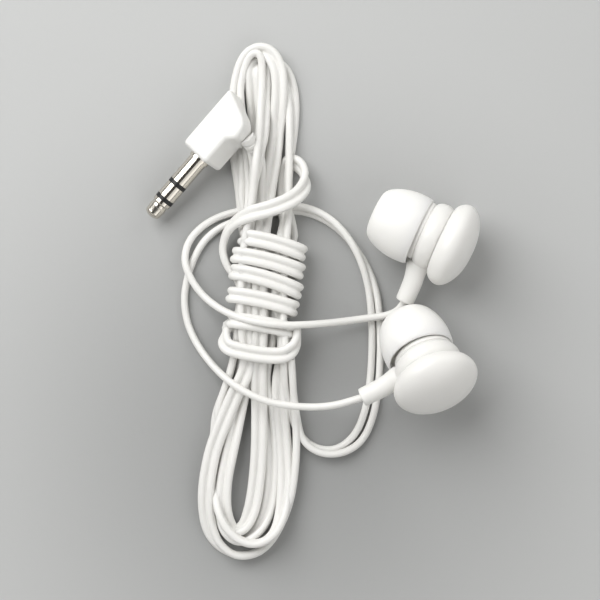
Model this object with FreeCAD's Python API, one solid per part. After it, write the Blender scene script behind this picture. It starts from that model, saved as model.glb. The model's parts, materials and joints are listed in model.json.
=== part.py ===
import FreeCAD, Part
import math
import os

from FreeCAD import Placement, Rotation, Vector

# Wired earphones, tied up in a hank and lying on a table (z = 0).  Millimetres.
# +X right, +Y along the hank towards the plug, +Z up from the table.

# ---- driving dimensions ----
# places on the table are given from the hank's middle; the origin is midway between the earbuds
origin_x = 21.09
origin_y = -0.26

# single strand and twin cable
strand_r = 0.65
lead_r = 0.95

# small flat at the pole of each dome
pole = 0.25

# earbud stations, measured along its axis from the ear tip's nose
tip_nose_r = 3.3
tip_widest_r = 6.36
tip_rim_r = 6.2
tip_rim_t = 8.5
tip_bore_r = 2.18
tip_core_r = 2.95
tip_core_end_t = 7.3
tip_mouth_r = 1.7
nozzle_front_t = 1.9
nozzle_r = 1.95
nozzle_barb_r = 2.12
nozzle_bore_r = 1.45
shell_shift = 0.4
shell_r = 6.05
shell_rear_r = 5.65
ring_r = 5.35
ring_rear_t = 9.55
shell_rear_t = 12.75
shell_inner_r = 4.9
lip_r = 5.4
lip_inner_r = 5.0
lip_end_t = 13.6
cover_front_t = 12.81
cover_throat_r = 5.45
cover_front_r = 5.65
cover_rim_r = 7.72
cover_rim_t = 15.3
cover_apex_t = 18.9
cover_wall = 0.9

# loudspeaker driver inside the back cover
frame_r = 5.38
frame_front_t = 13.7
frame_rear_t = 16.2
frame_wall = 0.38
yoke_r = 3.4
yoke_inner_r = 2.95
yoke_front_t = 14.4
yoke_rear_t = 16.4
pole_r = 2.5
pole_rear_t = 14.9
magnet_r = 2.3
magnet_rear_t = 16.0
coil_inner_r = 2.6
coil_outer_r = 2.85
coil_front_t = 13.95
coil_rear_t = 15.1
dome_r = 3.0
dome_apex_t = 13.35
film = 0.1
notch_width = 1.3
wire_r = 0.15
wire_gap = 0.25

# strain relief that sticks out of the shell's side
stem_t = 10.6
stem_end_t = 11.35
stem_end_y = -12.55
stem_neck_r = 1.25
stem_flange_r = 1.7
stem_bore_r = 0.66

# right-angle plug
plug_side = 6.3
plug_length = 12.8
plug_corner = 5.7
plug_arm_end = 4.75
plug_edge_r = 0.7
plug_roll = 26.0
pin_r = 1.75
pin_shoulder_r = 1.98
pin_shoulder_end = 0.7
pin_rear_band = (6.0, 6.8)
pin_front_band = (9.5, 10.3)
pin_flange_end = 10.9
pin_end = 14.0
pin_root = -4.0

# ---- where the pieces lie ----
# each earbud: middle of its ear tip's rim, the way its axis runs to the rear, the way its stem leaves
earbuds = {
    "left": {
        "rim": (20.98, 12.18, 6.78),
        "axis": (0.893, -0.420, 0.130),
        "stem": (-0.366, -0.896, -0.242),
    },
    "right": {
        "rim": (21.30, -9.60, 8.31),
        "axis": (0.3055, -0.760, 0.5736),
        "stem": (-0.8935, -0.4335, -0.0985),
    },
}
plug_place = (-17.77, 25.57, 4.25)
plug_pin_way = (-0.658, -0.745, -0.105)
plug_relief_end = (-8.10, 26.90, 4.95)

# ---- cord routes, from the hank's middle ----
left_route = [
    (18.73, -0.20, 4.08), (18.0, -1.6, 3.5), (16.0, -2.75, 2.7), (12.7, -3.2, 2.3), (8.9, -3.7, 2.8),
    (5.4, -4.1, 4.4), (1.4, -4.4, 6.3), (-2.9, -4.5, 7.2), (-7.5, -4.0, 7.1), (-11.4, -3.0, 5.7),
    (-14.8, -1.4, 3.7), (-17.6, 0.8, 2.5), (-19.7, 3.7, 2.3), (-21.0, 7.0, 2.0), (-20.4, 10.4, 1.0),
    (-18.1, 13.2, 0.7), (-14.7, 15.2, 0.65), (-10.5, 16.3, 0.65), (-5.4, 16.9, 0.65), (-0.4, 17.2, 0.7),
    (4.2, 15.7, 1.2), (8.0, 12.4, 2.2), (10.7, 8.0, 2.2), (12.4, 2.8, 1.0), (13.0, -2.7, 0.65),
    (13.1, -8.2, 0.65), (12.8, -14.2, 0.65), (12.0, -19.7, 0.65), (10.2, -24.4, 0.65),
    (6.9, -27.2, 0.65), (3.1, -27.1, 0.65), (0.1, -24.9, 0.65), (-1.6, -21.3, 1.1),
    (-2.6, -16.9, 2.6), (-2.9, -13.0, 4.1), (-3.0, -10.2, 4.9),
]
right_route = [
    (10.93, -17.22, 8.71), (8.9, -17.9, 8.2), (6.1, -18.7, 7.25), (2.6, -19.1, 6.5), (-1.6, -18.9, 6.1),
    (-5.8, -18.2, 5.9), (-9.8, -16.5, 5.4), (-13.4, -14.1, 4.2), (-16.5, -11.0, 2.5), (-18.9, -7.7, 1.2),
    (-20.5, -4.1, 0.65), (-21.1, -0.1, 0.65), (-20.5, 4.0, 0.65), (-19.2, 7.8, 0.65), (-17.2, 11.1, 0.65),
    (-14.2, 13.4, 0.65), (-10.0, 14.7, 0.65), (-5.4, 15.2, 0.65), (-0.7, 15.3, 0.65), (3.6, 13.8, 0.65),
    (7.4, 11.3, 0.65), (10.6, 8.2, 0.65), (12.8, 4.8, 0.65), (14.1, 0.6, 0.65), (14.5, -4.1, 0.65),
    (14.6, -9.5, 0.65), (14.3, -15.2, 0.65), (13.5, -20.8, 0.65), (11.4, -25.7, 0.8),
    (7.6, -28.4, 1.6), (3.4, -28.4, 1.8), (0.3, -26.0, 1.8), (-0.5, -21.8, 1.9),
    (-1.1, -17.3, 2.8), (-1.4, -13.3, 4.1), (-1.6, -10.6, 4.9),
]
lead_route = [
    plug_relief_end, (-7.7, 25.2, 4.2), (-7.7, 22.9, 3.6), (-7.9, 20.6, 3.4), (-8.0, 18.2, 3.5),
]

# outer shape of the hank: y, x from, x to, height
hank_sections = [
    (46.4, -9.0, -6.4, 1.5), (45.0, -11.0, -4.4, 2.4), (41.0, -12.2, -1.9, 2.8), (36.0, -12.1, -0.3, 4.0),
    (30.0, -11.9, 0.2, 6.0), (24.0, -12.0, 2.1, 7.0), (17.0, -13.6, 1.0, 7.2), (0.0, -14.6, 1.1, 7.0),
    (-9.0, -14.6, 0.0, 6.4), (-18.0, -16.7, -0.4, 4.8), (-32.7, -18.3, -0.4, 3.2), (-40.0, -17.6, -2.2, 3.6),
    (-44.5, -14.9, -5.8, 3.8), (-47.3, -11.8, -8.7, 1.5),
]


# ---- shape helpers ----
def flat(radius, t):
    return Vector(radius, 0, t)


def closed_face(start, steps):
    """Face in the XZ plane: each step is a corner, or (middle, end) of an arc."""
    edges = []
    at = flat(*start)
    for step in list(steps) + [start]:
        if isinstance(step[0], tuple):
            end = flat(*step[1])
            edges.append(Part.Arc(at, flat(*step[0]), end).toShape())
        else:
            end = flat(*step)
            edges.append(Part.LineSegment(at, end).toShape())
        at = end
    return Part.Face(Part.Wire(edges))


def turned(start, *steps, shift=0.0):
    """Solid turned about the local Z axis, moved sideways by shift along local Y."""
    solid = closed_face(start, steps).revolve(Vector(0, 0, 0), Vector(0, 0, 1), 360)
    solid.translate(Vector(0, shift, 0))
    return solid


def ring(inner, outer, low, high, shift=0.0):
    return turned((inner, low), (outer, low), (outer, high), (inner, high), shift=shift)


def rod(start, end, radius):
    way = end - start
    return Part.makeCylinder(radius, way.Length, start, way)


def wire_run(points, radius):
    """Thin wire along straight runs, with a ball at each bend."""
    pieces = [rod(a, b, radius) for a, b in zip(points, points[1:])]
    balls = [Part.makeSphere(radius, p) for p in points[1:-1]]
    return pieces[0].multiFuse(pieces[1:] + balls)


def unit(vector):
    copy = Vector(vector)
    copy.normalize()
    return copy


def cord_edges(points):
    """Straight runs joined by tangent arcs, each as large as its two runs allow."""
    reach = 0.45
    edges = []
    radii = []
    at = points[0]
    for before, corner, after in zip(points, points[1:], points[2:]):
        way_in = unit(corner - before)
        way_out = unit(after - corner)
        half_turn = way_in.getAngle(way_out) / 2
        setback = reach * min((corner - before).Length, (after - corner).Length)
        radius = setback / math.tan(half_turn)
        arc_start = corner - way_in * setback
        arc_end = corner + way_out * setback
        sagitta = radius * (1 / math.cos(half_turn) - 1)
        middle = corner + unit(way_out - way_in) * sagitta
        edges.append(Part.LineSegment(at, arc_start).toShape())
        edges.append(Part.Arc(arc_start, middle, arc_end).toShape())
        radii.append(radius)
        at = arc_end
    edges.append(Part.LineSegment(at, points[-1]).toShape())
    return edges, radii


def tube_along(points, radius):
    section = Part.Wire(Part.Circle(points[0], points[1] - points[0], radius).toShape())
    return Part.Wire(cord_edges(points)[0]).makePipeShell([section], True, True)


def cord_tube(name, route, radius):
    points = [Vector(*p) for p in route]
    edges, radii = cord_edges(points)
    length = Part.Wire(edges).Length
    tube = tube_along(points, radius)
    expected = math.pi * radius ** 2 * length
    print(f"{name}: length {length:.1f}, volume ratio {tube.Volume / expected:.4f}")
    print(f"{name}: radii from {min(radii):.1f}", [round(r, 1) for r in radii])
    return tube


# ---- one earbud, in its own frame: +Z from nose to rear, stem along -Y ----
def ear_tip():
    return turned(
        (tip_mouth_r, 0.6), ((2.0, 0.12), (2.5, 0.0)), (tip_nose_r, 0.0), ((4.35, 0.4), (5.0, 1.3)),
        ((5.95, 3.2), (tip_widest_r, 5.4)), ((6.36, 7.0), (tip_rim_r, 8.3)),
        ((6.1, 8.48), (5.95, tip_rim_t)), (5.75, 8.4), ((5.9, 6.3), (5.7, 4.9)),
        ((4.9, 2.7), (4.0, 1.8)), (tip_core_r, 1.8), (tip_core_r, tip_core_end_t),
        (tip_bore_r, tip_core_end_t), (tip_bore_r, 1.6), (tip_mouth_r, 1.6))


def nozzle():
    return turned(
        (nozzle_bore_r, nozzle_front_t), (1.8, nozzle_front_t), (nozzle_barb_r, 2.5),
        (nozzle_barb_r, 3.0), (nozzle_r, 3.5), (nozzle_r, 7.5), (3.1, 7.5), (3.1, 8.6),
        (nozzle_bore_r, 8.6))


def shell_bowl():
    return turned(
        (0, 7.7), (3.1, 7.7), (4.6, 8.2), ((5.2, 8.6), (ring_r, 9.2)), ((5.3, 9.45), (5.15, ring_rear_t)),
        ((5.8, 10.2), (shell_r, 11.2)), ((5.95, 12.2), (shell_rear_r, shell_rear_t)),
        (lip_r, shell_rear_t), (lip_r, lip_end_t), (lip_inner_r, lip_end_t), (lip_inner_r, 12.2),
        (shell_inner_r, 12.0), (shell_inner_r, 10.2), (4.0, 8.9), (0, 8.9), shift=shell_shift)


def wire_notch():
    """Space for the two wires, along the inside of the shell on the stem's side."""
    depth = 0.55
    rear = 17.0
    low_y = shell_shift - lip_r - 0.02
    return Part.makeBox(
        notch_width, depth, rear - shell_rear_t,
        Vector(-notch_width / 2, low_y, shell_rear_t))


def front_housing():
    hole = rod(Vector(0, 0, stem_t), Vector(0, -8, stem_t), stem_neck_r)
    bore = rod(Vector(0, 0, nozzle_front_t), Vector(0, 0, 9.5), nozzle_bore_r)
    return shell_bowl().fuse(nozzle()).cut(bore).cut(hole).cut(wire_notch())


def back_cover():
    inner_apex = cover_apex_t - cover_wall
    return turned(
        (0, cover_apex_t), (pole, cover_apex_t), ((3.6, 18.5), (6.3, 17.3)),
        ((7.4, 16.45), (cover_rim_r, cover_rim_t)), ((7.1, 13.75), (cover_front_r, cover_front_t)),
        (cover_throat_r, cover_front_t), (cover_throat_r, 14.6), (6.6, 15.0), (6.6, 15.6),
        ((3.9, 17.2), (pole, inner_apex)), (0, inner_apex), shift=shell_shift)


def nozzle_mesh():
    hole_r = 0.13
    pitch = 0.42
    rows = 3
    disc = ring(0, nozzle_bore_r, nozzle_front_t + 0.1, nozzle_front_t + 0.25)
    holes = []
    for row in range(-rows, rows + 1):
        for column in range(-rows, rows + 1):
            x = pitch * (column + row / 2)
            y = pitch * row * math.sqrt(3) / 2
            if math.hypot(x, y) < nozzle_bore_r - 0.25:
                holes.append(rod(Vector(x, y, 1.5), Vector(x, y, 2.8), hole_r))
    return disc.cut(holes[0].multiFuse(holes[1:]))


def driver_frame():
    inner = frame_r - frame_wall
    seat_r = 4.6
    body = turned(
        (inner, frame_front_t), (frame_r, frame_front_t), (frame_r, frame_rear_t),
        (yoke_r, frame_rear_t), (yoke_r, 15.8), (inner, 15.8), (inner, 14.25),
        (seat_r, 14.25), (seat_r, 14.02), (inner, 14.02), shift=shell_shift)
    return body.cut(wire_notch())


def surround():
    outer = 4.9
    inner = dome_r + 0.05
    back = 14.0
    return turned(
        (inner, back), (inner, back - film), (3.3, back - film),
        ((3.95, 13.6), (outer - 0.3, back - film)), (outer, back - film), (outer, back),
        (outer - 0.3, back), ((3.95, 13.7), (3.3, back)), shift=shell_shift)


def diaphragm():
    rim = 2.5
    return turned(
        (0, dome_apex_t), (pole, dome_apex_t), ((1.3, 13.5), (rim, coil_front_t - film)),
        (dome_r, coil_front_t - film), (dome_r, coil_front_t), (rim, coil_front_t),
        ((1.3, 13.6), (pole, dome_apex_t + film)), (0, dome_apex_t + film), shift=shell_shift)


def yoke():
    return turned(
        (yoke_inner_r, yoke_front_t), (yoke_r, yoke_front_t), (yoke_r, yoke_rear_t),
        (0, yoke_rear_t), (0, magnet_rear_t), (yoke_inner_r, magnet_rear_t), shift=shell_shift)


def half_ring(inner, outer, low, high, side):
    """Half of a flat ring: side -1 is the stem's side, +1 the far one."""
    gap = 0.2
    whole = ring(inner, outer, low, high, shift=shell_shift)
    corner_y = shell_shift + gap if side > 0 else shell_shift - gap - 2 * outer
    return whole.common(Part.makeBox(
        4 * outer, 2 * outer, 4 * outer, Vector(-2 * outer, corner_y, low - outer)))


def stem_line(inner_y):
    """The cord's way out of the shell: out past the bowl, then a little to the rear."""
    return [
        Vector(0, inner_y, stem_t), Vector(0, -5.3, stem_t), Vector(0, -7.3, 11.1),
        Vector(0, -9.3, stem_end_t), Vector(0, stem_end_y, stem_end_t + 0.02)]


def stem_sleeve():
    """Soft sleeve lofted through round sections: y, t, radius and slope to the rear."""
    sections = [
        (-3.9, stem_t, 2.1, 0.0), (-5.2, stem_t, 1.95, 0.08), (-6.3, 10.8, 1.74, 0.24),
        (-7.6, 11.15, 1.7, 0.2), (-8.6, 11.3, 1.74, 0.08), (-10.5, stem_end_t, 1.68, 0.0),
        (stem_end_y + 0.25, stem_end_t, 1.6, 0.0), (stem_end_y, stem_end_t, 1.4, 0.0)]
    wires = []
    for y, t, radius, slope in sections:
        circle = Part.Circle(Vector(0, y, t), Vector(0, -1, slope), radius)
        wires.append(Part.Wire(circle.toShape()))
    return Part.makeLoft(wires, True, False)


def strain_relief(housing, cover):
    outside = stem_sleeve()
    neck = rod(Vector(0, -4.2, stem_t), Vector(0, -6.2, stem_t), stem_neck_r - 0.02)
    flange = rod(Vector(0, -3.7, stem_t), Vector(0, -4.4, stem_t), stem_flange_r)
    bore = tube_along(stem_line(-3.0)[:-1] + [Vector(0, stem_end_y - 1, stem_end_t + 0.02)], stem_bore_r)
    inside = outside.common(rod(Vector(0, 0, 6), Vector(0, 0, 15), shell_inner_r - shell_shift))
    solid = outside.cut(inside).fuse(neck).fuse(flange).cut(bore)
    return biggest(solid.cut(housing).cut(cover).cut(wire_notch()))


def biggest(shape):
    return max(shape.Solids, key=lambda solid: solid.Volume)


def cable_knot():
    """Knot that stops the cord from being pulled out, with the cord's end in the stem."""
    knot_y = -2.35
    torus = Part.makeTorus(0.95, strand_r, Vector(0, knot_y, stem_t), Vector(0.4, 1, 0.3))
    return torus.fuse(tube_along(stem_line(knot_y), strand_r))


def wire_tails():
    """The two thin wires from the knot past the driver frame to the terminal board."""
    wires = []
    for side in (-1, 1):
        x = side * wire_gap
        wires.append(wire_run([
            Vector(x, -2.5, 12.3), Vector(x, -3.4, 13.0), Vector(x, -4.7, 13.3),
            Vector(x, -4.7, 16.3), Vector(x, -4.2, 16.77)], wire_r))
    return Part.makeCompound(wires)


def earbud_pieces():
    housing = front_housing()
    cover = back_cover()
    return {
        "ear_tip": ear_tip(),
        "front_housing": housing,
        "back_cover": cover,
        "nozzle_mesh": nozzle_mesh(),
        "nozzle_damper": ring(0, nozzle_bore_r, 5.0, 6.0),
        "driver_frame": driver_frame(),
        "diaphragm_surround": surround(),
        "diaphragm_dome": diaphragm(),
        "voice_coil": ring(coil_inner_r, coil_outer_r, coil_front_t, coil_rear_t, shift=shell_shift),
        "pole_plate": ring(0, pole_r, yoke_front_t, pole_rear_t, shift=shell_shift),
        "magnet": ring(0, magnet_r, pole_rear_t, magnet_rear_t, shift=shell_shift),
        "yoke": yoke(),
        "terminal_board": half_ring(3.6, 4.85, frame_rear_t, frame_rear_t + 0.4, -1),
        "damping_felt": half_ring(3.6, 4.85, frame_rear_t, frame_rear_t + 0.3, 1),
        "strain_relief": strain_relief(housing, cover),
        "cable_knot": cable_knot(),
        "wire_tails": wire_tails(),
    }


def earbud_placement(lie):
    axis = unit(Vector(*lie["axis"]))
    away_from_stem = Vector(*lie["stem"]) * -1
    turn = Rotation(away_from_stem.cross(axis), away_from_stem, axis, "ZYX")
    nose = Vector(*lie["rim"]) - axis * tip_rim_t
    return Placement(nose, turn)


# ---- the plug, in its own frame: +X along the pin, +Y towards the cable, +Z up ----
def along_pin(solid):
    """Moves a solid turned about Z so that its axis is X."""
    solid.Placement = Placement(Vector(0, 0, 0), Rotation(Vector(0, 1, 0), 90))
    return solid


def plug_body():
    half = plug_side / 2
    corners = [
        (0.0, -half), (0.0, half), (-plug_corner, half), (-plug_corner - 1.2, plug_arm_end),
        (-9.5, plug_arm_end), (-10.6, 3.7), (-plug_length, -half)]
    points = [Vector(x, y, -half) for x, y in corners]
    block = Part.Face(Part.makePolygon(points + points[:1])).extrude(Vector(0, 0, plug_side))
    block = block.makeFillet(plug_edge_r, block.Edges)
    return block.cut(along_pin(ring(0, pin_r, pin_root - 0.6, 1.0)))


def sleeve_contact():
    return along_pin(turned(
        (1.2, pin_root + 1), (pin_r, pin_root + 1), (pin_r, 0.1), (pin_shoulder_r, 0.1),
        (pin_shoulder_r, pin_shoulder_end), (pin_r, pin_shoulder_end), (pin_r, pin_rear_band[0]),
        (1.2, pin_rear_band[0])))


def rear_insulator():
    return along_pin(turned(
        (0.95, pin_root + 0.6), (1.2, pin_root + 0.6), (1.2, pin_rear_band[0]),
        (pin_r, pin_rear_band[0]), (pin_r, pin_rear_band[1]), (0.95, pin_rear_band[1])))


def ring_contact():
    return along_pin(turned(
        (0.75, pin_root + 0.3), (0.95, pin_root + 0.3), (0.95, pin_rear_band[1]),
        (pin_r, pin_rear_band[1]), (pin_r, pin_front_band[0]), (0.75, pin_front_band[0])))


def front_insulator():
    return along_pin(turned(
        (0.45, pin_root + 0.1), (0.75, pin_root + 0.1), (0.75, pin_front_band[0]),
        (pin_r, pin_front_band[0]), (pin_r, pin_front_band[1]), (0.45, pin_front_band[1])))


def tip_contact():
    return along_pin(turned(
        (0, pin_root), (0.45, pin_root), (0.45, pin_front_band[1]), (pin_r, pin_front_band[1]),
        (pin_r, pin_flange_end), (1.52, 11.15), ((1.5, 11.5), (1.62, 11.85)), (1.5, 12.9),
        ((1.38, 13.45), (0.95, 13.8)), ((0.6, 13.95), (pole, pin_end)), (0, pin_end)))


def plug_wires():
    """Three thin wires in the plug, from the contacts' rear ends to the arm."""
    starts = [(pin_root + 0.15, 0.6, -0.6), (pin_root + 0.3, 1.08, 0.0), (pin_root - 0.25, 0.0, 0.2)]
    wires = []
    for number, start in enumerate(starts):
        height = -0.5 + 0.5 * number
        wires.append(wire_run([
            Vector(start[0] - 0.3, start[1], start[2]), Vector(-6.2, 1.2, height),
            Vector(-8.0, 3.4, height)], wire_r))
    return Part.makeCompound(wires)


def plug_placement():
    pin_way = unit(Vector(*plug_pin_way))
    level = unit(Vector(-pin_way.y, pin_way.x, 0))
    flat_turn = Rotation(pin_way, level, pin_way.cross(level), "XYZ")
    return Placement(Vector(*plug_place), flat_turn.multiply(Rotation(Vector(1, 0, 0), plug_roll)))


def plug_relief(placement):
    """Soft sleeve from the plug's arm to the cable, with two grooves round it."""
    start = placement.multVec(Vector(-8.2, plug_arm_end - 0.5, 0))
    end = Vector(*plug_relief_end)
    length = (end - start).Length
    solid = turned(
        (0, 0), (1.5, 0), (1.45, 0.30 * length), (1.2, 0.34 * length), (1.2, 0.44 * length),
        (1.38, 0.48 * length), (1.33, 0.66 * length), (1.12, 0.70 * length), (1.12, 0.80 * length),
        (1.28, 0.84 * length), (1.22, length), (0, length))
    solid.Placement = Placement(start, Rotation(Vector(0, 0, 1), end - start))
    return solid


def plug_pieces():
    placement = plug_placement()
    wires = plug_wires()
    pieces = {
        "plug_body": plug_body().cut(wires),
        "plug_sleeve_contact": sleeve_contact(),
        "plug_rear_insulator": rear_insulator(),
        "plug_ring_contact": ring_contact(),
        "plug_front_insulator": front_insulator(),
        "plug_tip_contact": tip_contact(),
        "plug_wires": wires,
    }
    placed = {name: moved(piece, placement) for name, piece in pieces.items()}
    relief = plug_relief(placement)
    placed["plug_strain_relief"] = biggest(relief.cut(placed["plug_body"]))
    return placed


# ---- the cords ----
def hank():
    sections = []
    for y, x_from, x_to, height in hank_sections:
        centre = Vector((x_from + x_to) / 2, y, height / 2)
        half_width = (x_to - x_from) / 2
        ellipse = Part.Ellipse(
            centre + Vector(half_width, 0, 0), centre + Vector(0, 0, height / 2), centre)
        sections.append(Part.Wire(ellipse.toShape()))
    return Part.makeLoft(sections, True, True)


def moved(shape, placement):
    copy = shape.copy()
    copy.Placement = placement.multiply(copy.Placement)
    return copy


def all_pieces():
    nodes = plug_pieces()
    local = earbud_pieces()
    for side, lie in earbuds.items():
        placement = earbud_placement(lie)
        for name, shape in local.items():
            nodes[f"{side}_{name}"] = moved(shape, placement)
        end = placement.multVec(Vector(0, stem_end_y, stem_end_t))
        print(side, "stem end", [round(value, 2) for value in end])
        print(side, "nose", placement.Base, "axis", lie["axis"])
    nodes["main_cable_hank"] = hank()
    nodes["main_cable_lead"] = cord_tube("main_cable_lead", lead_route, lead_r)
    nodes["left_cable"] = cord_tube("left_cable", left_route, strand_r)
    nodes["right_cable"] = cord_tube("right_cable", right_route, strand_r)
    return nodes


def main():
    os.makedirs("parts", exist_ok=True)
    to_origin = Vector(-origin_x, -origin_y, 0)
    earbud_box = FreeCAD.BoundBox()
    for name, shape in all_pieces().items():
        shape.translate(to_origin)
        if name.startswith(tuple(earbuds)) and not name.endswith("_cable"):
            earbud_box.add(shape.optimalBoundingBox())
        if not shape.isValid() or shape.Volume <= 0:
            print("CHECK", name, shape.isValid(), shape.Volume)
        shape.exportStep(f"parts/{name}.step")
    print("earbuds", earbud_box)


main()
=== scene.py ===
import bmesh
import bpy
import json
import math
from mathutils import Matrix, Vector


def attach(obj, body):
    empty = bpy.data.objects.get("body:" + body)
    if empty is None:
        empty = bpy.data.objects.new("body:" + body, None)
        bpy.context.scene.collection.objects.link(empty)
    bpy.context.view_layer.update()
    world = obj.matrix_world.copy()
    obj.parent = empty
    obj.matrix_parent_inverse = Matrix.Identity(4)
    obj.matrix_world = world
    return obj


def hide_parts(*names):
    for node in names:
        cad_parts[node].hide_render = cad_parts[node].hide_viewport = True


# Wired earphones tied up in a hank, on a table at z = 0.  Metres; +Z up, +Y towards the plug's end.
# The earbuds' and the plug's profiles are in millimetres, as they are in the part's source.

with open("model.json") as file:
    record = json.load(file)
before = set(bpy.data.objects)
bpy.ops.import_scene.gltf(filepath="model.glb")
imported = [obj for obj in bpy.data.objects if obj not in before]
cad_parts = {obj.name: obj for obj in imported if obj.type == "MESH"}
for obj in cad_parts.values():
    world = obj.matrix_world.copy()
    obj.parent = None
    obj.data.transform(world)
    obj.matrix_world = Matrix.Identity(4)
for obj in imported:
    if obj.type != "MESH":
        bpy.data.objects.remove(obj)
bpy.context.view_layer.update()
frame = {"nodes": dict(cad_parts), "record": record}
nodes = frame["nodes"]
mounts = {mount["name"]: mount for mount in frame["record"]["mounts"]}

# ---- sizes ----
# each earbud's own round cord
strand_r = 0.00065
# the main cable: two strands side by side, joined by a web that reaches twin_web above and below its middle
twin_strand_r = 0.00069
twin_half_pitch = 0.00078
twin_web = 0.00026

# places on the table are given from the hank's middle, which lies here
hank_middle = Vector((-0.02109, 0.00026, 0.0))
# the way that the plug's pin points
pin_way = Vector(mounts["plug_pin"]["axis"]).normalized()

# ---- cord routes, from the hank's middle ----
left_route = [
    (0.01873, -0.00020, 0.00408), (0.0180, -0.0016, 0.0035), (0.0160, -0.00275, 0.0027),
    (0.0127, -0.0032, 0.0023), (0.0089, -0.0037, 0.0028), (0.0054, -0.0041, 0.0044),
    (0.0014, -0.0044, 0.0063), (-0.0029, -0.0045, 0.0072), (-0.0075, -0.0040, 0.0071),
    (-0.0114, -0.0030, 0.0057), (-0.0148, -0.0014, 0.0037), (-0.0176, 0.0008, 0.0025),
    (-0.0197, 0.0037, 0.0023), (-0.0210, 0.0070, 0.0020), (-0.0204, 0.0104, 0.0010),
    (-0.0181, 0.0132, 0.0007), (-0.0147, 0.0152, 0.00065), (-0.0105, 0.0163, 0.00065),
    (-0.0054, 0.0169, 0.0008), (-0.0004, 0.0172, 0.0016), (0.0042, 0.0157, 0.0020),
    (0.0080, 0.0124, 0.0022), (0.0107, 0.0080, 0.0022), (0.0124, 0.0028, 0.0010),
    (0.0130, -0.0027, 0.00065), (0.0131, -0.0082, 0.00065), (0.0128, -0.0142, 0.00065),
    (0.0120, -0.0197, 0.00065), (0.0102, -0.0244, 0.00065), (0.0069, -0.0272, 0.00065),
    (0.0031, -0.0271, 0.00065), (0.0001, -0.0249, 0.00065), (-0.0016, -0.0213, 0.0011),
    (-0.0026, -0.0169, 0.0026), (-0.0029, -0.0130, 0.0041), (-0.0030, -0.0102, 0.0049),
]
right_route = [
    (0.01093, -0.01722, 0.00871), (0.0089, -0.0179, 0.0082), (0.0061, -0.0187, 0.00725),
    (0.0026, -0.0191, 0.0065), (-0.0016, -0.0189, 0.0061), (-0.0058, -0.0182, 0.0059),
    (-0.0098, -0.0165, 0.0054), (-0.0134, -0.0141, 0.0042), (-0.0165, -0.0110, 0.0025),
    (-0.0189, -0.0077, 0.0012), (-0.0205, -0.0041, 0.00065), (-0.0211, -0.0001, 0.00065),
    (-0.0205, 0.0040, 0.00065), (-0.0192, 0.0078, 0.00065), (-0.0172, 0.0111, 0.00065),
    (-0.0142, 0.0134, 0.00065), (-0.0100, 0.0149, 0.00065), (-0.0054, 0.0157, 0.00065),
    (-0.0007, 0.0164, 0.00065), (0.0040, 0.0150, 0.00065), (0.0080, 0.0121, 0.00065),
    (0.0108, 0.0084, 0.00065), (0.0128, 0.0048, 0.00065), (0.0141, 0.0006, 0.00065),
    (0.0145, -0.0041, 0.00065), (0.0146, -0.0095, 0.00065), (0.0143, -0.0152, 0.00065),
    (0.0135, -0.0208, 0.00065), (0.0114, -0.0257, 0.0008), (0.0076, -0.0279, 0.0018),
    (0.0034, -0.0278, 0.0019), (0.0004, -0.0255, 0.0019), (-0.0005, -0.0218, 0.0019),
    (-0.0011, -0.0173, 0.0028), (-0.0014, -0.0133, 0.0041), (-0.0016, -0.0106, 0.0049),
]
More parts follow.
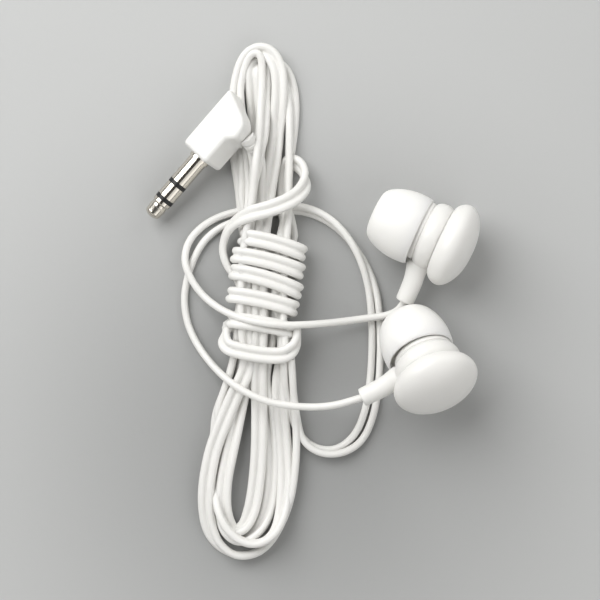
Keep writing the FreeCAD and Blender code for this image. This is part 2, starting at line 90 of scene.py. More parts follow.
# twin cable from the plug to the first turn of the tie: x, y, z and its roll in degrees, where
# 0 lies flat and 90 stands on edge
main_route = [
    (-0.0081, 0.0269, 0.00495, 0), (-0.0076, 0.0249, 0.00420, 0), (-0.0076, 0.0226, 0.00360, 0),
    (-0.0077, 0.0203, 0.00340, 0), (-0.0076, 0.0171, 0.00330, 0), (-0.0068, 0.0122, 0.00330, 0),
    (-0.0058, 0.0072, 0.00335, 0), (-0.0054, 0.0000, 0.00335, 0), (-0.0056, -0.0063, 0.00300, 10),
    (-0.0060, -0.0108, 0.00210, 60), (-0.0061, -0.0148, 0.00150, 85), (-0.0059, -0.0185, 0.00130, 45),
    (-0.0054, -0.0232, 0.00090, 10), (-0.0051, -0.0290, 0.00068, 0), (-0.0053, -0.0348, 0.00068, 0),
    (-0.0061, -0.0388, 0.00090, 15), (-0.0076, -0.0416, 0.00125, 45), (-0.0096, -0.0434, 0.00142, 75),
    (-0.0116, -0.0436, 0.00142, 80), (-0.0132, -0.0420, 0.00130, 50), (-0.0141, -0.0392, 0.00085, 10),
    (-0.0142, -0.0357, 0.00068, 0), (-0.0141, -0.0321, 0.00068, 0), (-0.0132, -0.0281, 0.00068, 0),
    (-0.0123, -0.0238, 0.00068, 0), (-0.0115, -0.0198, 0.00075, 0), (-0.0108, -0.0159, 0.00110, 0),
    (-0.0099, -0.0117, 0.00200, 0), (-0.0095, -0.0072, 0.00300, 0), (-0.0093, -0.0009, 0.00330, 0),
    (-0.0093, 0.0063, 0.00300, 0), (-0.0092, 0.0126, 0.00220, 40), (-0.0092, 0.0172, 0.00160, 80),
    (-0.0093, 0.0208, 0.00145, 90), (-0.0096, 0.0253, 0.00145, 90), (-0.0102, 0.0317, 0.00145, 90),
    (-0.0108, 0.0365, 0.00145, 90), (-0.0107, 0.0391, 0.00145, 90), (-0.0101, 0.0419, 0.00150, 90),
    (-0.0092, 0.0441, 0.00160, 90), (-0.0078, 0.0449, 0.00190, -80), (-0.0065, 0.0437, 0.00190, -60),
    (-0.0063, 0.0410, 0.00180, -45), (-0.0063, 0.0385, 0.00190, -43), (-0.0066, 0.0346, 0.00240, -45),
    (-0.0067, 0.0305, 0.00390, -46), (-0.0072, 0.0271, 0.00590, -62), (-0.0076, 0.0241, 0.00600, -72),
    (-0.0082, 0.0209, 0.00530, -85), (-0.0087, 0.0170, 0.00460, -90), (-0.0091, 0.0129, 0.00460, -60),
    (-0.0097, 0.0081, 0.00470, -45), (-0.0100, 0.0018, 0.00470, -40), (-0.0098, -0.0054, 0.00460, -20),
    (-0.0093, -0.0093, 0.00430, -8), (-0.0094, -0.0122, 0.00400, 0), (-0.0106, -0.0149, 0.00370, 0),
    (-0.0115, -0.0166, 0.00350, 0), (-0.0129, -0.0198, 0.00310, 0), (-0.0144, -0.0234, 0.00280, 0),
    (-0.0157, -0.0270, 0.00250, 0), (-0.0165, -0.0307, 0.00240, 0), (-0.0170, -0.0343, 0.00230, 0),
    (-0.0170, -0.0379, 0.00190, 8), (-0.0164, -0.0416, 0.00150, 28), (-0.0147, -0.0445, 0.00145, 62),
    (-0.0116, -0.0464, 0.00145, 88), (-0.0080, -0.0460, 0.00142, 90), (-0.0054, -0.0440, 0.00142, 90),
    (-0.0033, -0.0405, 0.00142, 90), (-0.0018, -0.0366, 0.00142, 90), (-0.0010, -0.0322, 0.00142, 90),
    (-0.0006, -0.0271, 0.00142, 90), (-0.0007, -0.0221, 0.00142, 90), (-0.0012, -0.0172, 0.00150, 90),
    (-0.0017, -0.0127, 0.00170, 70), (-0.0025, -0.0081, 0.00200, 30), (-0.0038, -0.0033, 0.00200, 0),
    (-0.0058, 0.0018, 0.00200, 0), (-0.0079, 0.0069, 0.00200, 0), (-0.0094, 0.0112, 0.00160, -10),
    (-0.0102, 0.0148, 0.00142, -50), (-0.0107, 0.0176, 0.00142, -75), (-0.0109, 0.0214, 0.00142, -55),
    (-0.0113, 0.0257, 0.00110, -20), (-0.0116, 0.0308, 0.00100, 10), (-0.0118, 0.0353, 0.00130, 50),
    (-0.0118, 0.0380, 0.00145, 72), (-0.0114, 0.0405, 0.00145, 74), (-0.0105, 0.0431, 0.00150, 68),
    (-0.0090, 0.0447, 0.00170, 52), (-0.0072, 0.0452, 0.00200, 28), (-0.0054, 0.0445, 0.00240, 8),
    (-0.0041, 0.0424, 0.00260, 0), (-0.0036, 0.0395, 0.00260, 0), (-0.0038, 0.0352, 0.00230, 0),
    (-0.0042, 0.0308, 0.00090, 0), (-0.0047, 0.0262, 0.00170, 0), (-0.0055, 0.0217, 0.00230, 0),
    (-0.0061, 0.0171, 0.00300, 0), (-0.0067, 0.0126, 0.00390, 0), (-0.0071, 0.0081, 0.00460, 0),
    (-0.0072, 0.0018, 0.00470, 0), (-0.0072, -0.0054, 0.00470, 0), (-0.0074, -0.0108, 0.00420, 0),
    (-0.0074, -0.0153, 0.00320, 0), (-0.0073, -0.0207, 0.00240, 0), (-0.0074, -0.0271, 0.00210, 0),
    (-0.0078, -0.0325, 0.00200, 0), (-0.0084, -0.0365, 0.00200, 5), (-0.0090, -0.0387, 0.00190, 20),
    (-0.0099, -0.0408, 0.00175, 45), (-0.0115, -0.0419, 0.00170, 55), (-0.0130, -0.0409, 0.00180, 25),
    (-0.0138, -0.0383, 0.00200, 0), (-0.0139, -0.0354, 0.00200, -12), (-0.0136, -0.0320, 0.00200, -22),
    (-0.0127, -0.0278, 0.00200, -22), (-0.0118, -0.0235, 0.00200, -18), (-0.0111, -0.0197, 0.00200, -5),
    (-0.0103, -0.0162, 0.00210, 0), (-0.0091, -0.0123, 0.00270, 0), (-0.0083, -0.0068, 0.00330, 0),
    (-0.0079, 0.0000, 0.00335, 0), (-0.0078, 0.0063, 0.00290, 0), (-0.0078, 0.0117, 0.00180, 0),
    (-0.0076, 0.0172, 0.00080, 0), (-0.0074, 0.0218, 0.00070, 0), (-0.0074, 0.0263, 0.00070, 0),
    (-0.0077, 0.0308, 0.00070, 0), (-0.0082, 0.0353, 0.00095, 0), (-0.0085, 0.0387, 0.00160, 0),
    (-0.0086, 0.0406, 0.00200, 0), (-0.0085, 0.0420, 0.00170, 0), (-0.0078, 0.0428, 0.00100, 0),
    (-0.0062, 0.0431, 0.00070, 0), (-0.0042, 0.0426, 0.00070, 0), (-0.0028, 0.0412, 0.00075, -5),
    (-0.0019, 0.0390, 0.00095, -18), (-0.0013, 0.0355, 0.00115, -38), (-0.0014, 0.0311, 0.00135, -52),
    (-0.0018, 0.0262, 0.00150, -78), (-0.0020, 0.0220, 0.00190, -88), (-0.0021, 0.0180, 0.00240, -100),
    (-0.0026, 0.0140, 0.00320, -120), (-0.0032, 0.0099, 0.00420, -150), (-0.0036, 0.0054, 0.00470, -175),
    (-0.0037, 0.0000, 0.00470, -180), (-0.0034, -0.0050, 0.00420, -110), (-0.0033, -0.0086, 0.00420, -95),
    (-0.0034, -0.0118, 0.00390, -130), (-0.0037, -0.0153, 0.00290, -175), (-0.0036, -0.0199, 0.00180, -180),
    (-0.0031, -0.0245, 0.00100, -180), (-0.0027, -0.0294, 0.00090, -180), (-0.0026, -0.0340, 0.00140, -170),
    (-0.0031, -0.0379, 0.00230, -140), (-0.0041, -0.0412, 0.00320, -110), (-0.0059, -0.0432, 0.00370, -90),
    (-0.0081, -0.0439, 0.00375, -90), (-0.0105, -0.0434, 0.00375, -90), (-0.0127, -0.0417, 0.00360, -90),
    (-0.0141, -0.0395, 0.00330, -92), (-0.0150, -0.0373, 0.00230, -85), (-0.0156, -0.0357, 0.00130, -52),
    (-0.0160, -0.0341, 0.00080, -18), (-0.0160, -0.0323, 0.00070, 0), (-0.0157, -0.0297, 0.00070, 0),
    (-0.0153, -0.0272, 0.00072, -4), (-0.0149, -0.0241, 0.00100, -30), (-0.0151, -0.0217, 0.00135, -62),
    (-0.0149, -0.0195, 0.00155, -85), (-0.0137, -0.0164, 0.00180, -90), (-0.0124, -0.0125, 0.00210, -90),
    (-0.0114, -0.0079, 0.00260, -90), (-0.0111, -0.0025, 0.00280, -90), (-0.0106, 0.0009, 0.00260, -90),
    (-0.0108, 0.0029, 0.00240, -90), (-0.0120, 0.0046, 0.00230, -90), (-0.0134, 0.0065, 0.00230, -90),
    (-0.0141, 0.0094, 0.00250, -90), (-0.0132, 0.0124, 0.00340, -80), (-0.0114, 0.0142, 0.00490, -60),
    (-0.0089, 0.0154, 0.00630, -20), (-0.0057, 0.0161, 0.00690, 0), (-0.0028, 0.0172, 0.00670, 0),
    (-0.0007, 0.0184, 0.00580, 12), (0.0006, 0.0199, 0.00460, 32), (0.0011, 0.0214, 0.00330, 70),
    (0.0008, 0.0230, 0.00220, 110), (-0.0002, 0.0245, 0.00150, 145), (-0.0017, 0.0252, 0.00085, 175),
    (-0.0028, 0.0241, 0.00068, 180), (-0.0030, 0.0200, 0.00068, 180), (-0.0027, 0.0160, 0.00080, 180),
    (-0.0020, 0.0134, 0.00090, 160), (-0.0017, 0.0112, 0.00080, 180),
]
behind_route = [
    (-0.0029, 0.0098, 0.00068, 180), (-0.0069, 0.0103, 0.00068, 180), (-0.0096, 0.0110, 0.00120, 180),
]
# the turns of the tie: x at the left and right end, y at the left and right end of the top pass
tie_turns = [
    (-0.01050, 0.00061, 0.01131, 0.00837),
    (-0.01185, 0.00025, 0.00811, 0.00508),
    (-0.01212, -0.00011, 0.00508, 0.00151),
    (-0.01265, -0.00083, 0.00098, -0.00160),
    (-0.01265, -0.00101, -0.00356, -0.00561),
]
tie_low = 0.00068
tie_high = 0.00606
# below 1, the turns' section is nearer a box than an ellipse
tie_boxy = 0.66
# share of a top pass's fall towards -Y that comes late, near its right end
tie_bow = 0.65
# how far the last turn's lower pass comes back towards +Y
tie_last_return = 0.0012
# from one strand to the other in the turns of the tie
tie_side = Vector((0.25, 1.0, 0.0)).normalized()
tail_route = [
    (-0.0134, -0.0059, 0.00320, 95), (-0.0137, -0.0073, 0.00440, 45), (-0.0129, -0.0085, 0.00550, 12),
    (-0.0103, -0.0092, 0.00600, 0), (-0.0069, -0.0098, 0.00605, 0), (-0.0037, -0.0100, 0.00605, 0),
    (-0.0019, -0.0094, 0.00580, 15), (-0.0008, -0.0081, 0.00530, 60), (-0.0005, -0.0066, 0.00490, 85),
    (-0.0005, -0.0048, 0.00460, 90), (-0.0026, -0.0048, 0.00450, 90), (-0.0027, -0.0068, 0.00460, 90),
    (-0.0028, -0.0086, 0.00480, 80), (-0.0028, -0.0104, 0.00490, 30),
]


# ---- helpers ----
def link(name, data):
    piece = bpy.data.objects.new(name, data)
    bpy.context.scene.collection.objects.link(piece)
    return piece


def nurbs_curve(name, points, steps):
    """Smooth curve guided by the points, with so many steps between two of them."""
    curve = bpy.data.curves.new(name, "CURVE")
    curve.dimensions = "3D"
    spline = curve.splines.new("NURBS")
    spline.points.add(len(points) - 1)
    for place, point in zip(spline.points, points):
        place.co = (*point, 1.0)
    spline.order_u = 3
    spline.use_endpoint_u = True
    spline.resolution_u = steps
    return curve


def points_along(points, steps):
    """Points read from the smooth NURBS line that the control points make."""
    guide = bpy.data.objects.new("guide", nurbs_curve("guide", points, steps))
    mesh = bpy.data.meshes.new_from_object(guide)
    line = [vertex.co.copy() for vertex in mesh.vertices]
    bpy.data.meshes.remove(mesh)
    bpy.data.objects.remove(guide)
    return line


def rolled_sides(route):
    """Unit side direction of the twin cable at each route point, from its heading and roll."""
    places = [Vector(point[:3]) for point in route]
    sides = []
    for number, point in enumerate(route):
        before = places[max(number - 1, 0)]
        after = places[min(number + 1, len(places) - 1)]
        left = Vector((before.y - after.y, after.x - before.x, 0)).normalized()
        roll = math.radians(point[3])
        sides.append(left * math.cos(roll) + Vector((0, 0, math.sin(roll))))
    return sides


def tie_points():
    """Centre line and side directions of the turns that tie the hank.

    Each turn runs left to right over the top, where it sags towards its right end, and back below.
    """
    steps = 16
    middle = (tie_low + tie_high) / 2
    half_height = (tie_high - tie_low) / 2
    centres = []
    for number, (left, right, y_left, y_right) in enumerate(tie_turns):
        y_next = tie_turns[number + 1][2] if number + 1 < len(tie_turns) else y_right + tie_last_return
        for step in range(steps):
            angle = math.pi - 2 * math.pi * step / steps
            across = math.copysign(abs(math.cos(angle)) ** tie_boxy, math.cos(angle))
            up = math.copysign(abs(math.sin(angle)) ** tie_boxy, math.sin(angle))
            part = (across + 1) / 2
            if step <= steps / 2:
                y = y_left + (y_right - y_left) * ((1 - tie_bow) * part + tie_bow * part ** 2)
            else:
                y = y_next + (y_right - y_next) * part
            x = (left + right) / 2 + (right - left) / 2 * across
            centres.append(Vector((x, y, middle + half_height * up)))
    return centres, [tie_side] * len(centres)


def twin_profile():
    """Figure-of-eight section: two round strands with a thin web between them."""
    arc_steps = 14
    opening = math.asin(twin_web / twin_strand_r)
    section = []
    for side in (1, -1):
        for step in range(arc_steps + 1):
            angle = -(math.pi - opening) + 2 * (math.pi - opening) * step / arc_steps
            across = twin_half_pitch + twin_strand_r * math.cos(angle)
            section.append((side * across, side * twin_strand_r * math.sin(angle)))
    return section


def twin_mesh(name, centres, sides):
    """Mesh of the twin cable along the centres, and the line that it follows."""
    steps = 6
    line = points_along(centres, steps)
    beside = points_along([c + s * twin_half_pitch for c, s in zip(centres, sides)], steps)
    profile = twin_profile()
    mesh = bpy.data.meshes.new(name)
    verts = []
    faces = []
    for number, centre in enumerate(line):
        before = line[max(number - 1, 0)]
        after = line[min(number + 1, len(line) - 1)]
        heading = (after - before).normalized()
        side = beside[number] - centre
        side = (side - heading * side.dot(heading)).normalized()
        lift = heading.cross(side)
        verts += [centre + side * across + lift * up for across, up in profile]
    count = len(profile)
    for number in range(len(line) - 1):
        for step in range(count):
            a = number * count + step
            b = number * count + (step + 1) % count
            faces.append((a, b, b + count, a + count))
    faces.append(tuple(range(count))[::-1])
    faces.append(tuple(range((len(line) - 1) * count, len(line) * count)))
    mesh.from_pydata(verts, [], faces)
    mesh.validate()
    for polygon in mesh.polygons:
        polygon.use_smooth = True
    return link(name, mesh), line


def main_cable():
    """The whole main cable in one run: plug, hank, tie and the tail with its loose end."""
    first = main_route + behind_route
    centres = [Vector(point[:3]) for point in first]
    sides = rolled_sides(first)
    tie_centres, tie_sides = tie_points()
    centres += tie_centres + [Vector(point[:3]) for point in tail_route]
    sides += tie_sides + rolled_sides(tail_route)
    for number in range(1, len(sides)):
        if sides[number].dot(sides[number - 1]) < 0:
            sides[number] = -sides[number]
    centres = [centre + hank_middle for centre in centres]
    return twin_mesh("main_cable", centres, sides)


def single_cable(name, route):
    """Round cord along the route, and its points."""
    points = [Vector(point) + hank_middle for point in route]
    curve = nurbs_curve(name, points, 10)
    curve.bevel_depth = strand_r
    curve.bevel_resolution = 6
    curve.use_fill_caps = True
    return link(name, curve), points


# ---- materials ----
# how many features of drifting shade and of uneven gloss a metre holds
shade_drift = 260
gloss_drift = 900


def material(name, colour, roughness, metallic=0.0):
    made = bpy.data.materials.new(name)
    made.use_nodes = True
    shader = made.node_tree.nodes["Principled BSDF"]
    shader.inputs["Base Color"].default_value = (*colour, 1.0)
    shader.inputs["Roughness"].default_value = roughness
    shader.inputs["Metallic"].default_value = metallic
    return made


def noise(made, scale, detail):
    """Noise in the piece's own coordinates; scale counts features per metre."""
    place = made.node_tree.nodes.new("ShaderNodeTexCoord")
    texture = made.node_tree.nodes.new("ShaderNodeTexNoise")
    texture.inputs["Scale"].default_value = scale
    texture.inputs["Detail"].default_value = detail
    made.node_tree.links.new(place.outputs["Object"], texture.inputs["Vector"])
    return texture.outputs["Fac"]


def vary_colour(made, value, high, low):
    """Colour that drifts with the value: one shade where it is high, another where it is low."""
    mix = made.node_tree.nodes.new("ShaderNodeMix")
    mix.data_type = "RGBA"
    mix.inputs["A"].default_value = (*low, 1.0)
    mix.inputs["B"].default_value = (*high, 1.0)
    made.node_tree.links.new(value, mix.inputs["Factor"])
    shader = made.node_tree.nodes["Principled BSDF"]
    made.node_tree.links.new(mix.outputs["Result"], shader.inputs["Base Color"])


def vary_roughness(made, value, low, high):
    ramp = made.node_tree.nodes.new("ShaderNodeMapRange")
    ramp.inputs["From Min"].default_value = 0.3
    ramp.inputs["From Max"].default_value = 0.7
    ramp.inputs["To Min"].default_value = low
    ramp.inputs["To Max"].default_value = high
    made.node_tree.links.new(value, ramp.inputs["Value"])
    shader = made.node_tree.nodes["Principled BSDF"]
    made.node_tree.links.new(ramp.outputs["Result"], shader.inputs["Roughness"])


def add_bump(made, value, depth, strength):
    """Relief of that depth in metres."""
    bump = made.node_tree.nodes.new("ShaderNodeBump")
    bump.inputs["Distance"].default_value = depth
    bump.inputs["Strength"].default_value = strength
    made.node_tree.links.new(value, bump.inputs["Height"])
    shader = made.node_tree.nodes["Principled BSDF"]
    made.node_tree.links.new(bump.outputs["Normal"], shader.inputs["Normal"])


def moulded(name, colour, roughness, grain, depth, spread=0.03):
    """Moulded or worn surface: drifting shade, uneven gloss and a fine grain."""
    made = material(name, colour, roughness)
    dark = tuple(channel * (1 - spread) for channel in colour)
    vary_colour(made, noise(made, shade_drift, 3), colour, dark)
    vary_roughness(made, noise(made, gloss_drift, 4), roughness - 0.06, roughness + 0.08)
    add_bump(made, noise(made, grain, 5), depth, 0.6)
    return made


def translucent(made, weight, depth):
    """Lets light in: how much of the surface's light does so, and how far it goes in metres."""
    shader = made.node_tree.nodes["Principled BSDF"]
    shader.inputs["Subsurface Weight"].default_value = weight
    shader.inputs["Subsurface Scale"].default_value = depth
    shader.inputs["Subsurface Radius"].default_value = (1.0, 1.0, 0.97)
    return made


def turned_metal(name, colour, roughness, axis):
    """Metal turned on a lathe about the axis: fine rings round it and a few soft smears."""
    made = material(name, colour, roughness, metallic=1.0)
    nodes_of = made.node_tree.nodes
    links = made.node_tree.links
    place = nodes_of.new("ShaderNodeTexCoord")
    along = nodes_of.new("ShaderNodeVectorMath")
    along.operation = "DOT_PRODUCT"
    along.inputs[1].default_value = axis
    rings = nodes_of.new("ShaderNodeTexNoise")
    rings.noise_dimensions = "1D"
    rings.inputs["Scale"].default_value = 9000
    rings.inputs["Detail"].default_value = 2
    links.new(place.outputs["Object"], along.inputs[0])
    links.new(along.outputs["Value"], rings.inputs["W"])
    add_bump(made, rings.outputs["Fac"], 0.000002, 0.12)
    vary_roughness(made, noise(made, 700, 4), roughness - 0.03, roughness + 0.05)
    vary_colour(made, noise(made, 350, 2), colour, tuple(channel * 0.92 for channel in colour))
    return made


def punched_steel(name):
    made = moulded(name, (0.45, 0.45, 0.46), 0.38, 4000, 0.00001, spread=0.15)
    made.node_tree.nodes["Principled BSDF"].inputs["Metallic"].default_value = 1.0
    return made


def clear_film(name):
    made = moulded(name, (0.82, 0.84, 0.86), 0.22, 1500, 0.00002, spread=0.05)
    shader = made.node_tree.nodes["Principled BSDF"]
    shader.inputs["Transmission Weight"].default_value = 0.6
    shader.inputs["IOR"].default_value = 1.5
    return made


def foam(name, colour):
    """Open foam: small cells that are darker at their edges."""
    made = material(name, colour, 0.95)
    cells = made.node_tree.nodes.new("ShaderNodeTexVoronoi")
    cells.inputs["Scale"].default_value = 4500
    place = made.node_tree.nodes.new("ShaderNodeTexCoord")
    made.node_tree.links.new(place.outputs["Object"], cells.inputs["Vector"])
    vary_colour(made, cells.outputs["Distance"], tuple(0.4 * channel for channel in colour), colour)
    add_bump(made, cells.outputs["Distance"], 0.00008, 0.8)
    return made


def metal(name, colour, roughness, grain):
    made = moulded(name, colour, roughness, grain, 0.000006, spread=0.12)
    made.node_tree.nodes["Principled BSDF"].inputs["Metallic"].default_value = 1.0
    return made


def soft_white(name, colour, roughness, grain, depth, weight, reach):
    """White plastic or rubber that lets a little light in."""
    return translucent(moulded(name, colour, roughness, grain, depth), weight, reach)


slots = {
    "cord_white": soft_white("cord_white", (0.83, 0.822, 0.795), 0.44, 2600, 0.00002, 0.25, 0.0008),
    "tip_silicone": soft_white("tip_silicone", (0.90, 0.892, 0.865), 0.42, 1800, 0.00001, 0.7, 0.002),
    "shell_white": soft_white("shell_white", (0.86, 0.85, 0.822), 0.34, 2200, 0.000008, 0.35, 0.0012),
    "relief_white": soft_white("relief_white", (0.85, 0.842, 0.815), 0.46, 2400, 0.000015, 0.35, 0.001),
    "plug_white": soft_white("plug_white", (0.87, 0.865, 0.842), 0.4, 2000, 0.000012, 0.3, 0.001),
    "plug_nickel": turned_metal("plug_nickel", (0.72, 0.68, 0.61), 0.14, pin_way),
    "insulator_black": moulded("insulator_black", (0.006, 0.006, 0.006), 0.42, 2500, 0.00001, spread=0.3),
    "mesh_steel": punched_steel("mesh_steel"),
    "foam_grey": foam("foam_grey", (0.18, 0.18, 0.18)),
    "frame_plastic": moulded("frame_plastic", (0.05, 0.05, 0.055), 0.5, 1800, 0.00002, spread=0.2),
    "film_clear": clear_film("film_clear"),
    "copper": metal("copper", (0.80, 0.42, 0.25), 0.3, 6000),
    "soft_iron": metal("soft_iron", (0.52, 0.50, 0.47), 0.42, 3500),
    "magnet": metal("magnet", (0.60, 0.60, 0.61), 0.28, 2500),
    "board_green": moulded("board_green", (0.03, 0.17, 0.07), 0.45, 3000, 0.00002, spread=0.2),
    "felt_black": foam("felt_black", (0.05, 0.05, 0.05)),
}
finishes = {
    "ear_tip": "tip_silicone", "front_housing": "shell_white", "back_cover": "shell_white",
    "nozzle_mesh": "mesh_steel", "nozzle_damper": "foam_grey", "driver_frame": "frame_plastic",
    "diaphragm_surround": "film_clear", "diaphragm_dome": "film_clear", "voice_coil": "copper",
    "pole_plate": "soft_iron", "magnet": "magnet", "yoke": "soft_iron", "terminal_board": "board_green",
    "damping_felt": "felt_black", "strain_relief": "relief_white", "cable_knot": "cord_white",
    "wire_tails": "copper", "cable": "cord_white", "body": "plug_white",
    "sleeve_contact": "plug_nickel", "ring_contact": "plug_nickel", "tip_contact": "plug_nickel",
    "rear_insulator": "insulator_black", "front_insulator": "insulator_black", "wires": "copper",
    "cable_hank": "cord_white", "cable_lead": "cord_white",
}
for name, node in nodes.items():
    node.data.materials.clear()
    node.data.materials.append(slots[finishes[name.split("_", 1)[1]]])


def finished(piece, body, slot, *replaced):
    """The piece with its material, riding its body in place of the CAD nodes it replaces."""
    piece.data.materials.append(slots[slot])
    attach(piece, body)
    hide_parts(*replaced)
    return piece


# ---- earbuds: pieces turned about the earbud's axis, in millimetres from the ear tip's nose ----
# the way that each earbud's sleeve points; its ear fit mount gives its nose and its axis
sleeve_ways = {"left": Vector((-0.366, -0.896, -0.242)), "right": Vector((-0.8935, -0.4335, -0.0985))}
# the cover's middle lies this far off the ear tip's axis
shell_shift = 0.4
# radius and distance to the rear
tip_profile = [
    (1.72, 1.6), (1.72, 0.7), (1.9, 0.25), (2.35, 0.02), (3.2, 0.0), (4.1, 0.26), (4.85, 1.0), (5.4, 2.0),
    (5.85, 3.2), (6.2, 4.5), (6.36, 5.8), (6.36, 7.0), (6.3, 7.9), (6.22, 8.5), (6.05, 8.82), (5.8, 8.86),
    (5.7, 8.6), (5.64, 7.7), (5.2, 7.1), (4.3, 6.95), (3.4, 6.95), (3.0, 7.05), (2.85, 7.28),
    (2.3, 7.3), (2.19, 7.1), (2.19, 1.7),
]
cover_profile = [
    (0.02, 18.9), (1.6, 18.86), (3.2, 18.65), (4.7, 18.2), (6.0, 17.55), (7.0, 16.75), (7.55, 15.95),
    (7.72, 15.2), (7.6, 14.4), (7.15, 13.6), (6.5, 13.05), (5.85, 12.82), (5.5, 12.82), (5.46, 13.1),
    (5.46, 14.5), (5.8, 14.75), (6.5, 15.05), (6.6, 15.6), (5.6, 16.5), (4.0, 17.3),
    (2.0, 17.85), (0.02, 18.0),
]
# sleeve round the cord: distance from the axis, distance to the rear, radius and lean to the rear
sleeve_sections = [
    (4.6, 11.0, 2.3, 0.0), (5.3, 10.95, 2.2, 0.0), (6.0, 10.95, 2.02, 0.05), (6.8, 11.05, 1.84, 0.14),
    (7.7, 11.18, 1.76, 0.16), (8.7, 11.32, 1.76, 0.08), (10.5, 11.36, 1.73, 0.0), (12.2, 11.37, 1.7, 0.0),
    (12.5, 11.37, 1.66, 0.0), (12.58, 11.37, 1.5, 0.0), (12.58, 11.37, 0.95, 0.0), (12.5, 11.37, 0.72, 0.0),
    (12.2, 11.37, 0.68, 0.0),
]


def earbud_matrix(side):
    """Places a piece drawn from the nose along +Z, with its sleeve towards -Y."""
    fit = mounts[f"{side}_ear_fit"]
    rear = -Vector(fit["axis"]).normalized()
    across = rear.cross(sleeve_ways[side]).normalized()
    up = rear.cross(across).normalized()
    return Matrix.Translation(Vector(fit["pos_m"])) @ Matrix((across, up, rear)).transposed().to_4x4()


def smoothed(name, bm):
    """Object from the bmesh, with smooth shading and two rounds of subdivision."""
    bmesh.ops.recalc_face_normals(bm, faces=bm.faces)
    mesh = bpy.data.meshes.new(name)
    bm.to_mesh(mesh)
    bm.free()
    for polygon in mesh.polygons:
        polygon.use_smooth = True
    piece = link(name, mesh)
    smooth = piece.modifiers.new("smooth", "SUBSURF")
    smooth.levels = 2
    smooth.render_levels = 2
    return piece


def lathe(name, profile, matrix, shift=0.0, closed=True):
    """Surface turned about local Z from (radius, distance to the rear) pairs in millimetres.

    A closed profile joins its last point to its first; an open one gets a flat cap at each end.
    """
    around = 40
    bm = bmesh.new()
    rings = []
    for radius, height in profile:
        ring = []
        for step in range(around):
            angle = 2 * math.pi * step / around
            x = radius * math.cos(angle)
            y = radius * math.sin(angle) + shift
            ring.append(bm.verts.new(matrix @ (Vector((x, y, height)) / 1000)))
        rings.append(ring)
    pairs = list(zip(rings, rings[1:]))
    if closed:
        pairs.append((rings[-1], rings[0]))
    else:
        bm.faces.new(rings[0])
        bm.faces.new(rings[-1])
    for low, high in pairs:
        for step in range(around):
            after = (step + 1) % around
            bm.faces.new((low[step], low[after], high[after], high[step]))
    return smoothed(name, bm)


def sleeve(name, matrix):
    """Strain relief: rings round the cord, from inside the shell to the sleeve's open end."""
    around = 24
    bm = bmesh.new()
    rings = []
    for out, height, radius, lean in sleeve_sections:
        ring = []
        for step in range(around):
            angle = 2 * math.pi * step / around
            x = radius * math.cos(angle)
            rise = radius * math.sin(angle)
            ring.append(bm.verts.new(matrix @ (Vector((x, lean * rise - out, height + rise)) / 1000)))
        rings.append(ring)
    for low, high in zip(rings, rings[1:]):
        for step in range(around):
            after = (step + 1) % around
            bm.faces.new((low[step], low[after], high[after], high[step]))
    bm.faces.new(rings[0])
    bm.faces.new(rings[-1])
    return smoothed(name, bm)


for side in sleeve_ways:
    place = earbud_matrix(side)
    tip = lathe(f"{side}_silicone_tip", tip_profile, place)
    finished(tip, f"{side}_ear_tip", "tip_silicone", f"{side}_ear_tip")
    cover = lathe(f"{side}_shell_cover", cover_profile, place, shell_shift, closed=False)
    finished(cover, "root", "shell_white", f"{side}_back_cover")
    finished(sleeve(f"{side}_sleeve", place), "root", "relief_white", f"{side}_strain_relief")


# ---- plug: its block, in millimetres along the pin, towards the cable and up ----
# the place is where the pin leaves the block, and the roll is about the pin
plug_place = Vector((-0.03886, 0.02583, 0.00425))
plug_half = 3.15
plug_roll = math.radians(26)
plug_edge_r = 0.9
plug_outline = [
    (0.0, -plug_half), (0.0, plug_half), (-5.7, plug_half), (-6.9, 4.75), (-9.3, 4.35), (-10.4, 3.25),
    (-12.8, -plug_half),
]
# the block's underside is drawn in below its arm
plug_underside = [
    (0.0, -plug_half), (0.0, plug_half), (-4.9, plug_half), (-6.6, 3.3), (-8.6, 2.9), (-9.8, 1.8),
    (-12.6, -plug_half),
]
plug_layers = [(plug_underside, -plug_half), (plug_outline, -0.5), (plug_outline, plug_half)]


def plug_matrix():
    """Places the block: local X along the pin, Y towards the cable."""
    level = Vector((-pin_way.y, pin_way.x, 0)).normalized()
    turn = Matrix((pin_way, level, pin_way.cross(level))).transposed() @ Matrix.Rotation(plug_roll, 3, "X")
    return Matrix.Translation(plug_place) @ turn.to_4x4()


def plug_block():
    """Right-angle body built up in layers, with its edges rounded."""
    place = plug_matrix()
    bm = bmesh.new()
    rings = []
    for outline, z in plug_layers:
        rings.append([bm.verts.new(place @ (Vector((x, y, z)) / 1000)) for x, y in outline])
    count = len(plug_outline)
    for low, high in zip(rings, rings[1:]):
        for step in range(count):
            after = (step + 1) % count
            bm.faces.new((low[step], low[after], high[after], high[step]))
    bm.faces.new(rings[0])
    bm.faces.new(rings[-1])
    bmesh.ops.recalc_face_normals(bm, faces=bm.faces)
    mesh = bpy.data.meshes.new("plug_block")
    bm.to_mesh(mesh)
    bm.free()
    for polygon in mesh.polygons:
        polygon.use_smooth = True
    block = link("plug_block", mesh)
    edges = block.modifiers.new("edges", "BEVEL")
    edges.width = plug_edge_r / 1000
    edges.segments = 6
    edges.limit_method = "ANGLE"
    edges.angle_limit = math.radians(20)
    block.modifiers.new("flats", "WEIGHTED_NORMAL")
    return block


block = finished(plug_block(), "root", "plug_white", "plug_body")


# ---- cords ----
cable, cable_line = main_cable()
finished(cable, "root", "cord_white", "main_cable_hank", "main_cable_lead")

for side, route in (("left", left_route), ("right", right_route)):
    branch, points = single_cable(f"{side}_earbud_cable", route)
    finished(branch, "root", "cord_white", f"{side}_cable")


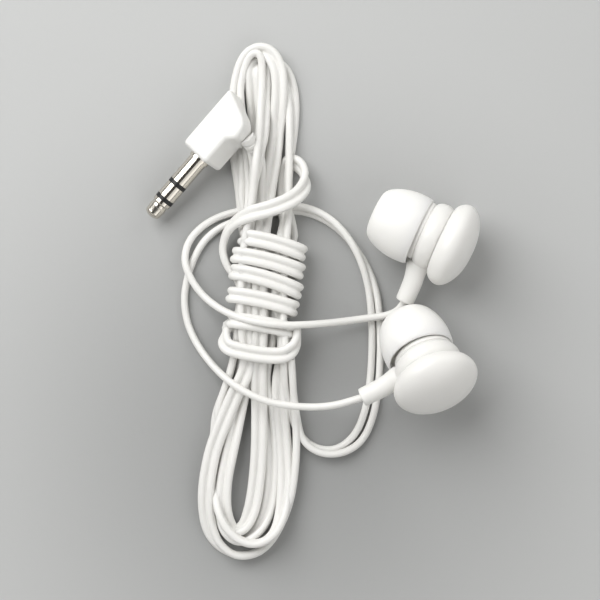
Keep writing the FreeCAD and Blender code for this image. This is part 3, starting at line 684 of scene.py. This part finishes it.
# ---- table, light and camera ----
table_shade = (0.505, 0.51, 0.505)
# painted shadow round the hank: the colour, middle and reach of the darker patch that stands in for its
# shade on the table
painted_shadow_colour = (0.31, 0.313, 0.31)
painted_shadow_middle = (-0.0225, -0.022, 0.0)
painted_shadow_reach = 0.075
table_half = 1.5
# name: place, width and power
lights = {
    "key": ((-0.26, 0.25, 0.36), 0.42, 2.35),
    "fill": ((0.3, -0.3, 0.5), 0.6, 0.9),
    "side": ((0.32, 0.36, 0.30), 0.4, 0.55),
}
# brightness of the surroundings by height, from straight below to straight above
world_shades = [(0.25, 0.62), (0.45, 1.0), (0.66, 0.95), (0.8, 0.22)]
world_below = (0.34, 0.335, 0.33, 1)
world_above = (0.07, 0.066, 0.06, 1)
world_strength = 0.66
camera_height = 0.3
# half the width that the camera sees at the table
half_view = 0.054545


def table_with_painted_shadow():
    """Matt grey board with a painted shadow: a little darker in a broad patch round the hank, where its
    shade falls.
    """
    made = moulded("table_with_painted_shadow", table_shade, 0.62, 1400, 0.00002, spread=0.02)
    nodes_of = made.node_tree.nodes
    links = made.node_tree.links
    place = nodes_of.new("ShaderNodeNewGeometry")
    away = nodes_of.new("ShaderNodeVectorMath")
    away.operation = "DISTANCE"
    away.inputs[1].default_value = painted_shadow_middle
    # painted shadow: the table's colour goes smoothly from the patch's darker colour at its middle to the
    # plain grey at its reach
    painted_shadow = nodes_of.new("ShaderNodeMapRange")
    painted_shadow.interpolation_type = "SMOOTHSTEP"
    painted_shadow.inputs["From Min"].default_value = 0.0
    painted_shadow.inputs["From Max"].default_value = painted_shadow_reach
    links.new(place.outputs["Position"], away.inputs[0])
    links.new(away.outputs["Value"], painted_shadow.inputs["Value"])
    vary_colour(made, painted_shadow.outputs["Result"], table_shade, painted_shadow_colour)
    return made


def floor():
    mesh = bpy.data.meshes.new("table")
    bm = bmesh.new()
    bmesh.ops.create_grid(bm, x_segments=1, y_segments=1, size=table_half)
    bm.to_mesh(mesh)
    bm.free()
    mesh.materials.append(table_with_painted_shadow())
    link("table", mesh)


def area_light(name, place, size, power):
    """Square lamp at the place, turned to the frame's origin."""
    light = bpy.data.lights.new(name, "AREA")
    light.energy = power
    light.size = size
    lamp = link(name, light)
    lamp.location = place
    lamp.rotation_euler = (-Vector(place)).to_track_quat("-Z", "Y").to_euler()


def studio():
    """Soft surroundings: bright all round at middle height, dim overhead."""
    made = bpy.data.worlds.new("studio")
    made.use_nodes = True
    tree = made.node_tree
    way = tree.nodes.new("ShaderNodeTexCoord")
    parts = tree.nodes.new("ShaderNodeSeparateXYZ")
    ramp = tree.nodes.new("ShaderNodeValToRGB")
    stops = ramp.color_ramp.elements
    stops[0].position = 0.0
    stops[0].color = world_below
    stops[1].position = 1.0
    stops[1].color = world_above
    for position, shade in world_shades:
        stops.new(position).color = (shade, 0.995 * shade, 0.975 * shade, 1)
    tree.links.new(way.outputs["Generated"], parts.inputs["Vector"])
    tree.links.new(parts.outputs["Z"], ramp.inputs["Fac"])
    tree.links.new(ramp.outputs["Color"], tree.nodes["Background"].inputs["Color"])
    tree.nodes["Background"].inputs["Strength"].default_value = world_strength
    return made


def camera():
    """Camera straight above the hank's middle."""
    data = bpy.data.cameras.new("camera")
    data.sensor_fit = "HORIZONTAL"
    data.angle = 2 * math.atan(half_view / camera_height)
    data.clip_start = 0.01
    view = link("camera", data)
    view.location = hank_middle + Vector((0, 0, camera_height))
    bpy.context.scene.camera = view


floor()
for name, (place, size, power) in lights.items():
    area_light(name, place, size, power)
bpy.context.scene.world = studio()
camera()
bpy.context.scene.view_settings.view_transform = "Standard"
